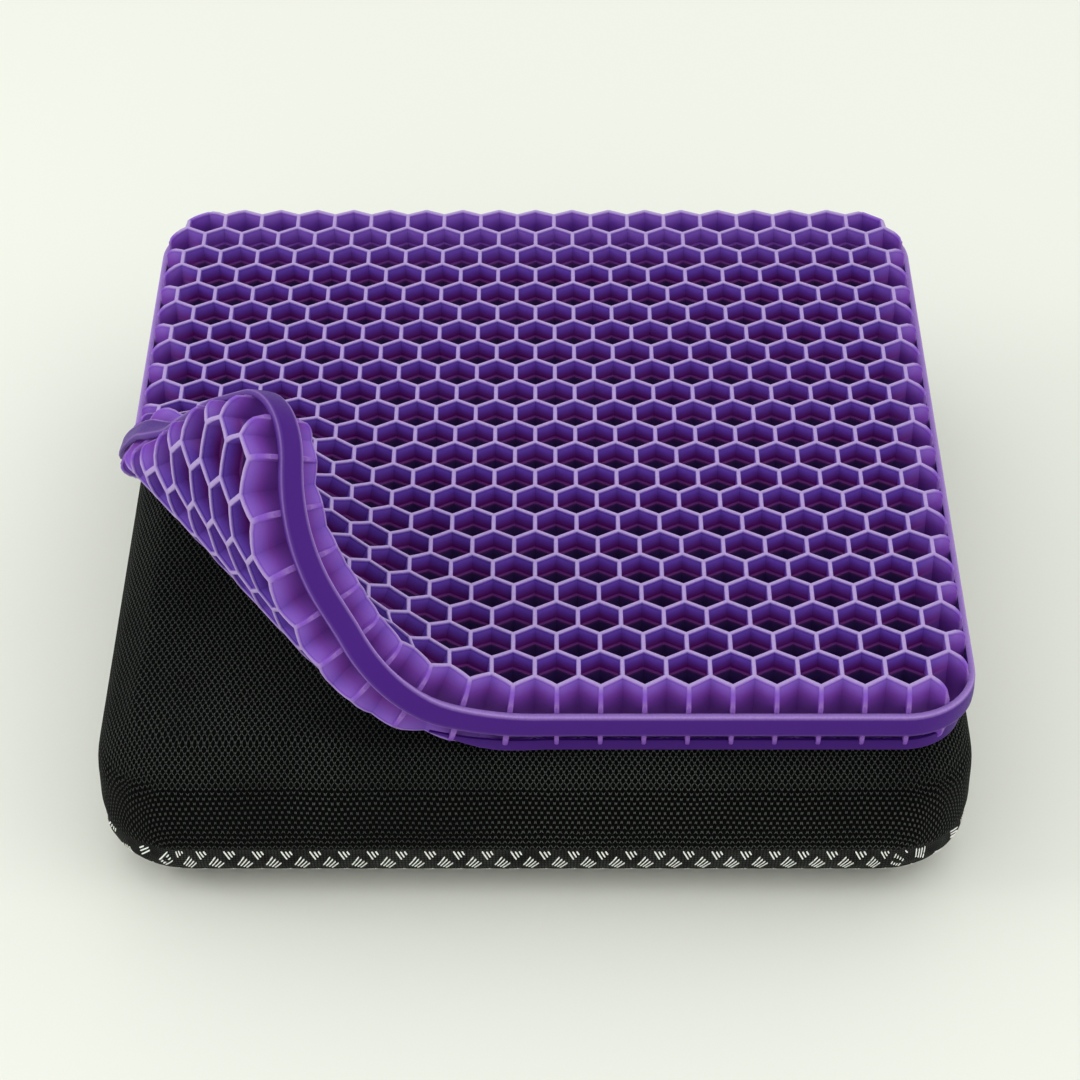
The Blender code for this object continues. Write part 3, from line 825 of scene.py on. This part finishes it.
def inflate(item):
    """Cloth under pressure, with how far each point moves capped."""
    start = coordinates(item.data)
    normals = vertex_normals(item.data)
    cloth = item.modifiers.new("swell", "CLOTH")
    cloth.settings.quality = 5
    cloth.settings.use_pressure = True
    cloth.settings.uniform_pressure_force = SWELL_PRESSURE
    cloth.settings.tension_stiffness = 30.0
    cloth.settings.compression_stiffness = 30.0
    cloth.settings.bending_stiffness = 4.0
    cloth.settings.effector_weights.gravity = 0.0
    cloth.collision_settings.use_collision = False
    scene = bpy.context.scene
    for step in range(1, SWELL_FRAMES + 1):
        scene.frame_set(step)
    bake_modifiers(item)
    scene.frame_set(1)
    moved = np.sum((coordinates(item.data) - start) * normals, axis=1)
    swell = SWELL_CAP * MM * np.tanh(np.maximum(moved, 0.0) / (SWELL_CAP * MM))
    sink = SINK_CAP * MM * np.tanh(np.minimum(moved, 0.0) / (SINK_CAP * MM))
    sink *= smoothstep(20.0, 50.0, start[:, 2] / MM)
    write_coordinates(item.data, start + normals * (swell + sink)[:, None])


def write_coordinates(mesh, values):
    mesh.vertices.foreach_set("co", values.reshape(-1))
    mesh.update()


def peel(x, y):
    """0 under the lying part of the pad, rising to 1 where it is peeled away."""
    px, py, heading, _, _ = BENDS[0]
    angle = math.radians(heading)
    reach = (x - px) * math.sin(angle) - (y - py) * math.cos(angle)
    return smoothstep(-20.0, 60.0, reach)


def settle(item):
    """Crown the free corner, lie flat under the pad and on the floor, and stay flat at the zipper."""
    points = coordinates(item.data) / MM + vertex_normals(item.data) * START_INSET
    x, y, z = points.T
    flat_y = BASE_BACK - 0.2
    zipped = smoothstep(26.0, 12.0, np.abs(z - (ZIP_LOW + ZIP_HIGH) / 2))
    zipped = zipped * smoothstep(185.0, 160.0, np.abs(x)) * (y > 150)
    y = np.where(zipped > 0, y + (flat_y - y) * zipped, y)
    top = BASE_HEIGHT + CROWN * peel(x, y) * smoothstep(0.0, 60.0, x + BASE_HALF_WIDTH)
    z = np.minimum(z, top)
    z = np.maximum(z, 0.0)
    z = np.where(z < 2.8, z * smoothstep(1.4, 2.8, z), z)
    limit = BASE_BACK + 0.2
    y = np.where((np.abs(x) < 190) & (y > limit), limit, y)
    seam = np.exp(-((z - SEAM_Z) / SEAM_WIDTH) ** 2) * SEAM_DEPTH
    centre_y = (BASE_BACK + BASE_FRONT) / 2
    edge_x = smoothstep(150.0, 200.0, np.abs(x))
    edge_y = smoothstep(150.0, 200.0, np.abs(y - centre_y))
    x = x - np.sign(x) * seam * edge_x
    y = y - np.sign(y - centre_y) * seam * edge_y
    write_coordinates(item.data, np.column_stack((x, y, z)) * MM)


def knit_coordinates(mesh):
    """Cloth coordinates in millimetres that run over the edges and down the sides."""
    points = coordinates(mesh) / MM
    normals = vertex_normals(mesh)
    flat = np.maximum(normals[:, 0] ** 2 + normals[:, 1] ** 2, 1e-6)
    share_x = normals[:, 0] ** 2 / flat
    share_y = normals[:, 1] ** 2 / flat
    down = np.maximum(BASE_HEIGHT - points[:, 2], 0.0)
    u = points[:, 0] + np.sign(points[:, 0]) * share_x * down
    v = points[:, 1] + np.sign(points[:, 1]) * share_y * down
    under = normals[:, 2] < -0.95
    u = np.where(under, points[:, 0], u)
    v = np.where(under, points[:, 1], v)
    layer = mesh.attributes.new("knit", "FLOAT_VECTOR", "POINT")
    layer.data.foreach_set("vector", np.column_stack((u, v, 0 * u)).astype(np.float32).reshape(-1))


def cut_plane(bm, faces, place, normal):
    verts = list({v for f in faces for v in f.verts})
    edges = list({e for f in faces for e in f.edges})
    bmesh.ops.bisect_plane(bm, geom=verts + edges + faces, plane_co=Vector(place) * MM,
                           plane_no=normal)


def split_cover(whole, fabric, grip):
    """The swollen block as two sewn skins, cut at the seam, with the zipper's slot open."""
    made = []
    for name, above, material in (("cover_fabric", True, fabric), ("grip_panel", False, grip)):
        bm = bmesh.new()
        bm.from_mesh(whole.data)
        cut_plane(bm, bm.faces[:], (0, 0, SEAM_Z), (0, 0, 1))
        gone = [f for f in bm.faces if (f.calc_center_median().z > SEAM_Z * MM) != above]
        bmesh.ops.delete(bm, geom=gone, context="FACES")
        if above:
            for place, normal in (((-ZIP_X, 0, 0), (1, 0, 0)), ((ZIP_X, 0, 0), (1, 0, 0)),
                                  ((0, 0, ZIP_LOW), (0, 0, 1)), ((0, 0, ZIP_HIGH), (0, 0, 1))):
                back = [f for f in bm.faces if f.calc_center_median().y > 0.2]
                cut_plane(bm, back, place, normal)
            slot = [f for f in bm.faces if f.calc_center_median().y > 0.2
                    and abs(f.calc_center_median().x) < ZIP_X * MM
                    and ZIP_LOW * MM < f.calc_center_median().z < ZIP_HIGH * MM]
            bmesh.ops.delete(bm, geom=slot, context="FACES")
        mesh = bpy.data.meshes.new(name)
        bm.to_mesh(mesh)
        bm.free()
        finish_mesh(mesh, None, False)
        mesh.materials.append(material)
        item = bpy.data.objects.new(name, mesh)
        bpy.context.scene.collection.objects.link(item)
        thick = item.modifiers.new("cloth", "SOLIDIFY")
        thick.thickness = CLOTH * MM
        thick.offset = -1.0
        made.append(item)
    return made


def make_cushion(fabric, grip, foam):
    whole = block_object("whole_cover", START_INSET)
    inflate(whole)
    settle(whole)
    smooth = whole.modifiers.new("smooth", "SUBSURF")
    smooth.levels = 1
    smooth.render_levels = 1
    bake_modifiers(whole)
    knit_coordinates(whole.data)
    tree = BVHTree.FromPolygons([v.co.copy() for v in whole.data.vertices],
                                [p.vertices[:] for p in whole.data.polygons])
    cover, panel = split_cover(whole, fabric, grip)
    bpy.data.objects.remove(whole, do_unlink=True)
    core = block_object("foam_block", CORE_INSET)
    core.data.materials.append(foam)
    finish_mesh(core.data, None, False)
    return cover, panel, core, tree


def wrap(u, v):
    """The place on the underside, wrapped up round its edge, of a point of the flat cloth."""
    half_x = BASE_HALF_WIDTH - BOTTOM_ROUND
    half_y = (BASE_BACK - BASE_FRONT) / 2 - BOTTOM_ROUND
    radius = max(BASE_CORNER - 0.65 * BOTTOM_ROUND, BASE_CORNER_LEAST)
    centre_y = (BASE_BACK + BASE_FRONT) / 2
    qx = abs(u) - (half_x - radius)
    qy = abs(v - centre_y) - (half_y - radius)
    outside = math.hypot(max(qx, 0.0), max(qy, 0.0)) - radius
    if max(qx, qy) <= 0 or outside <= 0:
        return Vector((u, v, 0.0)), max(outside, 0.0)
    way = Vector((max(qx, 0.0) * math.copysign(1, u),
                  max(qy, 0.0) * math.copysign(1, v - centre_y), 0))
    way.normalize()
    angle = min(outside / BOTTOM_ROUND, math.pi / 2)
    foot = Vector((u, v, 0.0)) - way * outside
    place = foot + way * BOTTOM_ROUND * math.sin(angle)
    place.z = BOTTOM_ROUND * (1 - math.cos(angle))
    return place, outside


def make_dashes(tree, material):
    """Groups of four raised dashes, leaning one way and then the other, row by row."""
    limit = math.radians(DASH_LIMIT) * BOTTOM_ROUND
    verts = []
    faces = []
    rows = range(0, int(-2 * DASH_FIRST_ROW / DASH_ROW) + 2)
    columns = range(-18, 19)
    for row in rows:
        v = DASH_FIRST_ROW + (row - 1) * DASH_ROW + (DASH_BREAK if row > 1 else 0.0)
        lean = -1 if row % 2 else 1
        for column in columns:
            u = (column + (0.5 if row % 2 else 0.0)) * DASH_PITCH + DASH_SHIFT
            for place in (-1.5, -0.5, 0.5, 1.5):
                cu = u + place * DASH_STEP[0]
                cv = v - place * DASH_STEP[1] * lean
                add_dash(verts, faces, tree, cu, cv, lean, limit)
    return make_object("grip_dashes", verts, faces, [material], None, 40)


def add_dash(verts, faces, tree, cu, cv, lean, limit):
    """One raised dash on the cloth, cut off where it would pass the limit."""
    along = np.array((DASH_HALF[0] * lean, DASH_HALF[1]))
    across = np.array((1.0, -0.35 * lean))
    across /= np.hypot(*across)
    centre = np.array((cu, cv))
    inside = [t for t in np.linspace(-1.0, 1.0, 17) if wrap(*(centre + along * t))[1] < limit]
    if len(inside) < 4:
        return
    base = []
    for share, width in ((0.0, 0.45), (0.08, 1.0), (0.92, 1.0), (1.0, 0.45)):
        step = inside[0] + (inside[-1] - inside[0]) * share
        for side in (-1, 1):
            u, v = centre + along * step + across * DASH_HALF_WIDTH * width * side
            hit, normal, _, _ = tree.find_nearest(wrap(u, v)[0] * MM)
            base.append((hit / MM, normal))
    start = len(verts)
    for place, normal in base:
        verts.append(tuple(place - normal * 0.25))
    for place, normal in base:
        verts.append(tuple(place + normal * DASH_RISE))
    for i in (0, 2, 4):
        faces.append([start + 8 + i, start + 8 + i + 1, start + 8 + i + 3, start + 8 + i + 2])
        faces.append([start + i, start + i + 2, start + i + 3, start + i + 1])
        faces.append([start + i, start + 8 + i, start + 8 + i + 2, start + i + 2])
        faces.append([start + i + 1, start + i + 3, start + 8 + i + 3, start + 8 + i + 1])
    faces.append([start, start + 1, start + 9, start + 8])
    faces.append([start + 7, start + 6, start + 14, start + 15])


# ---------------------------------------------------------------- zipper

def make_tape(name, node, material):
    """A woven tape, a little wavy along its free edge."""
    low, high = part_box(node)
    xs = np.linspace(low.x, high.x, 201) / MM
    zs = np.linspace(low.z, high.z, 7) / MM
    middle = (ZIP_LOW + ZIP_HIGH) / 2
    verts = []
    for layer, y in ((0, high.y / MM), (1, low.y / MM)):
        for x in xs:
            for z in zs:
                free = abs(z - middle) / 10.0
                ripple = 0.12 * math.sin(x / 9.0) * free
                verts.append((x, y - 0.15 + ripple - 0.1 * layer, z))
    columns = len(zs)
    lap = len(xs) * columns
    faces = []
    for i in range(len(xs) - 1):
        for j in range(columns - 1):
            a = i * columns + j
            faces.append([a, a + 1, a + columns + 1, a + columns])
            faces.append([lap + a, lap + a + columns, lap + a + columns + 1, lap + a + 1])
        for j in (0, columns - 1):
            a = i * columns + j
            faces.append([a, a + columns, lap + a + columns, lap + a])
    for i in (0, len(xs) - 1):
        for j in range(columns - 1):
            a = i * columns + j
            faces.append([a, a + 1, lap + a + 1, lap + a])
    return make_object(name, verts, faces, [material], None, 40)


def make_stitches(tree, material):
    """A row of thread stitches round the zipper's slot."""
    verts = []
    faces = []
    runs = []
    for z in (ZIP_LOW - STITCH_OUT, ZIP_HIGH + STITCH_OUT):
        count = int(2 * (ZIP_X + STITCH_OUT) / STITCH_PITCH)
        first = -ZIP_X - STITCH_OUT
        runs += [(first + (i + 0.5) * STITCH_PITCH, z, 1, 0) for i in range(count)]
    for x in (-ZIP_X - 3.5, ZIP_X + 3.5):
        count = int((ZIP_HIGH - ZIP_LOW + 4.0) / STITCH_PITCH)
        runs += [(x, ZIP_LOW - 2.0 + (i + 0.5) * STITCH_PITCH, 0, 1) for i in range(count)]
    for x, z, dx, dz in runs:
        start = len(verts)
        for step in (-1.15, -0.75, 0.0, 0.75, 1.15):
            place = Vector((x + step * dx, BASE_BACK, z + step * dz))
            hit, normal, _, _ = tree.find_nearest(place * MM)
            thick = 0.28 if abs(step) > 1.0 else 0.42
            sink = -0.2 if abs(step) > 1.0 else 0.12
            centre = hit / MM + normal * sink
            side = Vector((dz, 0, dx))
            for k in range(6):
                turn = math.radians(60 * k)
                verts.append(tuple(centre + (side * math.cos(turn) + normal * math.sin(turn)) * thick))
        for i in range(4):
            for k in range(6):
                n = (k + 1) % 6
                ring = start + i * 6
                faces.append([ring + k, ring + n, ring + 6 + n, ring + 6 + k])
        faces.append([start + k for k in range(6)])
        faces.append([start + 24 + k for k in range(6)])
    return make_object("zip_stitches", verts, faces, [material], None, None)


def dress_node(name, material, width):
    """A better material and rounded edges for a CAD node that stays."""
    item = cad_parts[name]
    item.data.materials.clear()
    item.data.materials.append(material)
    bevel = item.modifiers.new("edge", "BEVEL")
    bevel.width = width * MM
    bevel.segments = 2
    bevel.limit_method = "ANGLE"
    bevel.angle_limit = math.radians(35)


# ---------------------------------------------------------------- studio

def make_studio():
    scene = bpy.context.scene
    scene.view_settings.view_transform = "Standard"
    half = 6.0
    floor_mesh = bpy.data.meshes.new("floor")
    floor_mesh.from_pydata([(-half, -half, 0), (half, -half, 0), (half, half, 0), (-half, half, 0)],
                           [], [(0, 1, 2, 3)])
    floor_mesh.materials.append(floor_material())
    floor = bpy.data.objects.new("floor", floor_mesh)
    floor.location.z = -0.0004
    scene.collection.objects.link(floor)
    world = bpy.data.worlds.new("studio")
    scene.world = world
    world.use_nodes = True
    back = world.node_tree.nodes["Background"]
    back.inputs["Color"].default_value = (0.98, 1.0, 0.985, 1.0)
    back.inputs["Strength"].default_value = 0.93
    add_light("key", (0.2, 0.1, 2.8), (0, 0.0, 0.1), 3.0, 8.0)
    add_light("fill", (1.5, -0.8, 1.5), (0.2, -0.1, 0.05), 1.5, 4.5)
    add_light("side", (-1.7, -0.2, 1.0), (-0.2, 0, 0.14), 0.8, 7.0)


def add_light(name, place, goal, size, power):
    data = bpy.data.lights.new(name, "AREA")
    data.shape = "SQUARE"
    data.size = size
    data.energy = power
    item = bpy.data.objects.new(name, data)
    bpy.context.scene.collection.objects.link(item)
    item.location = place
    item.rotation_euler = (Vector(goal) - Vector(place)).to_track_quat("-Z", "Y").to_euler()
    item.visible_camera = False


def make_camera():
    data = bpy.data.cameras.new("camera")
    data.sensor_width = 36.0
    data.lens = 18.0 / math.tan(math.radians(CAMERA_VIEW) / 2)
    item = bpy.data.objects.new("camera", data)
    item.location = CAMERA_PLACE
    item.rotation_euler = (math.radians(90.0 - CAMERA_DOWN), 0.0, 0.0)
    bpy.context.scene.collection.objects.link(item)
    bpy.context.scene.camera = item


def main():
    make_camera()
    make_studio()
    # Gel colours: walls, painted shade, painted magenta glow, painted through-light with random cloud,
    # painted rim highlight
    gel = gel_material("gel_comb_look", (0.078, 0.004, 0.38), (0.023, 0.0018, 0.10),
                       (0.13, 0.005, 0.16), (0.24, 0.085, 0.54), (0.43, 0.32, 0.59))
    # Band gel: its own purple with the same painted shade, glow, through-light and lip highlight
    belt = gel_material("gel_band_look", (0.060, 0.009, 0.21), (0.050, 0.008, 0.165),
                        (0.052, 0.008, 0.17), (0.072, 0.013, 0.23), (0.40, 0.25, 0.62))
    # Foot gel: a darker copy of the gel for the lip in the shade under the band, painted shade
    shaded_sole = gel_material("gel_foot_shaded_look", (0.046, 0.006, 0.16), (0.016, 0.002, 0.06),
                        (0.016, 0.0015, 0.055), (0.05, 0.008, 0.17), (0.16, 0.07, 0.30))
    comb = pad_piece("gel_honeycomb", comb_parts(), gel, 38)
    foot = pad_piece("gel_foot", foot_parts(), shaded_sole, 50)
    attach(foot, "pad")
    band = pad_piece("gel_belt", band_parts(), belt, 50)
    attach(comb, "pad")
    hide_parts("gel_comb")
    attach(band, "pad")
    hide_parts("gel_band")

    cover, panel, core, tree = make_cushion(knit_material(), grip_material(), foam_material())
    dashes = make_dashes(tree, dash_material())
    tape = tape_material()
    nylon = nylon_material()
    metal = metal_material()
    stitches = make_stitches(tree, nylon)
    tapes = [make_tape("tape_" + side, "zipper_tape_" + side, tape) for side in ("upper", "lower")]
    for piece, node, slot in ((cover, "cover_top", "cover_mesh"), (panel, "cover_base", "grip_cloth"),
                              (core, "foam_core", "foam"), (tapes[0], "zipper_tape_upper", "zip_tape"),
                              (tapes[1], "zipper_tape_lower", "zip_tape")):
        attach(piece, "cushion")
        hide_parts(node)
    for piece, slot in ((dashes, "grip_cloth"), (stitches, "cover_mesh")):
        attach(piece, "cushion")
    for name in ("zipper_teeth_upper", "zipper_teeth_lower"):
        dress_node(name, nylon, 0.3)
    for name in ("zipper_stop_left", "zipper_stop_right", "zipper_slider", "zipper_pull"):
        dress_node(name, metal, 0.25)


main()
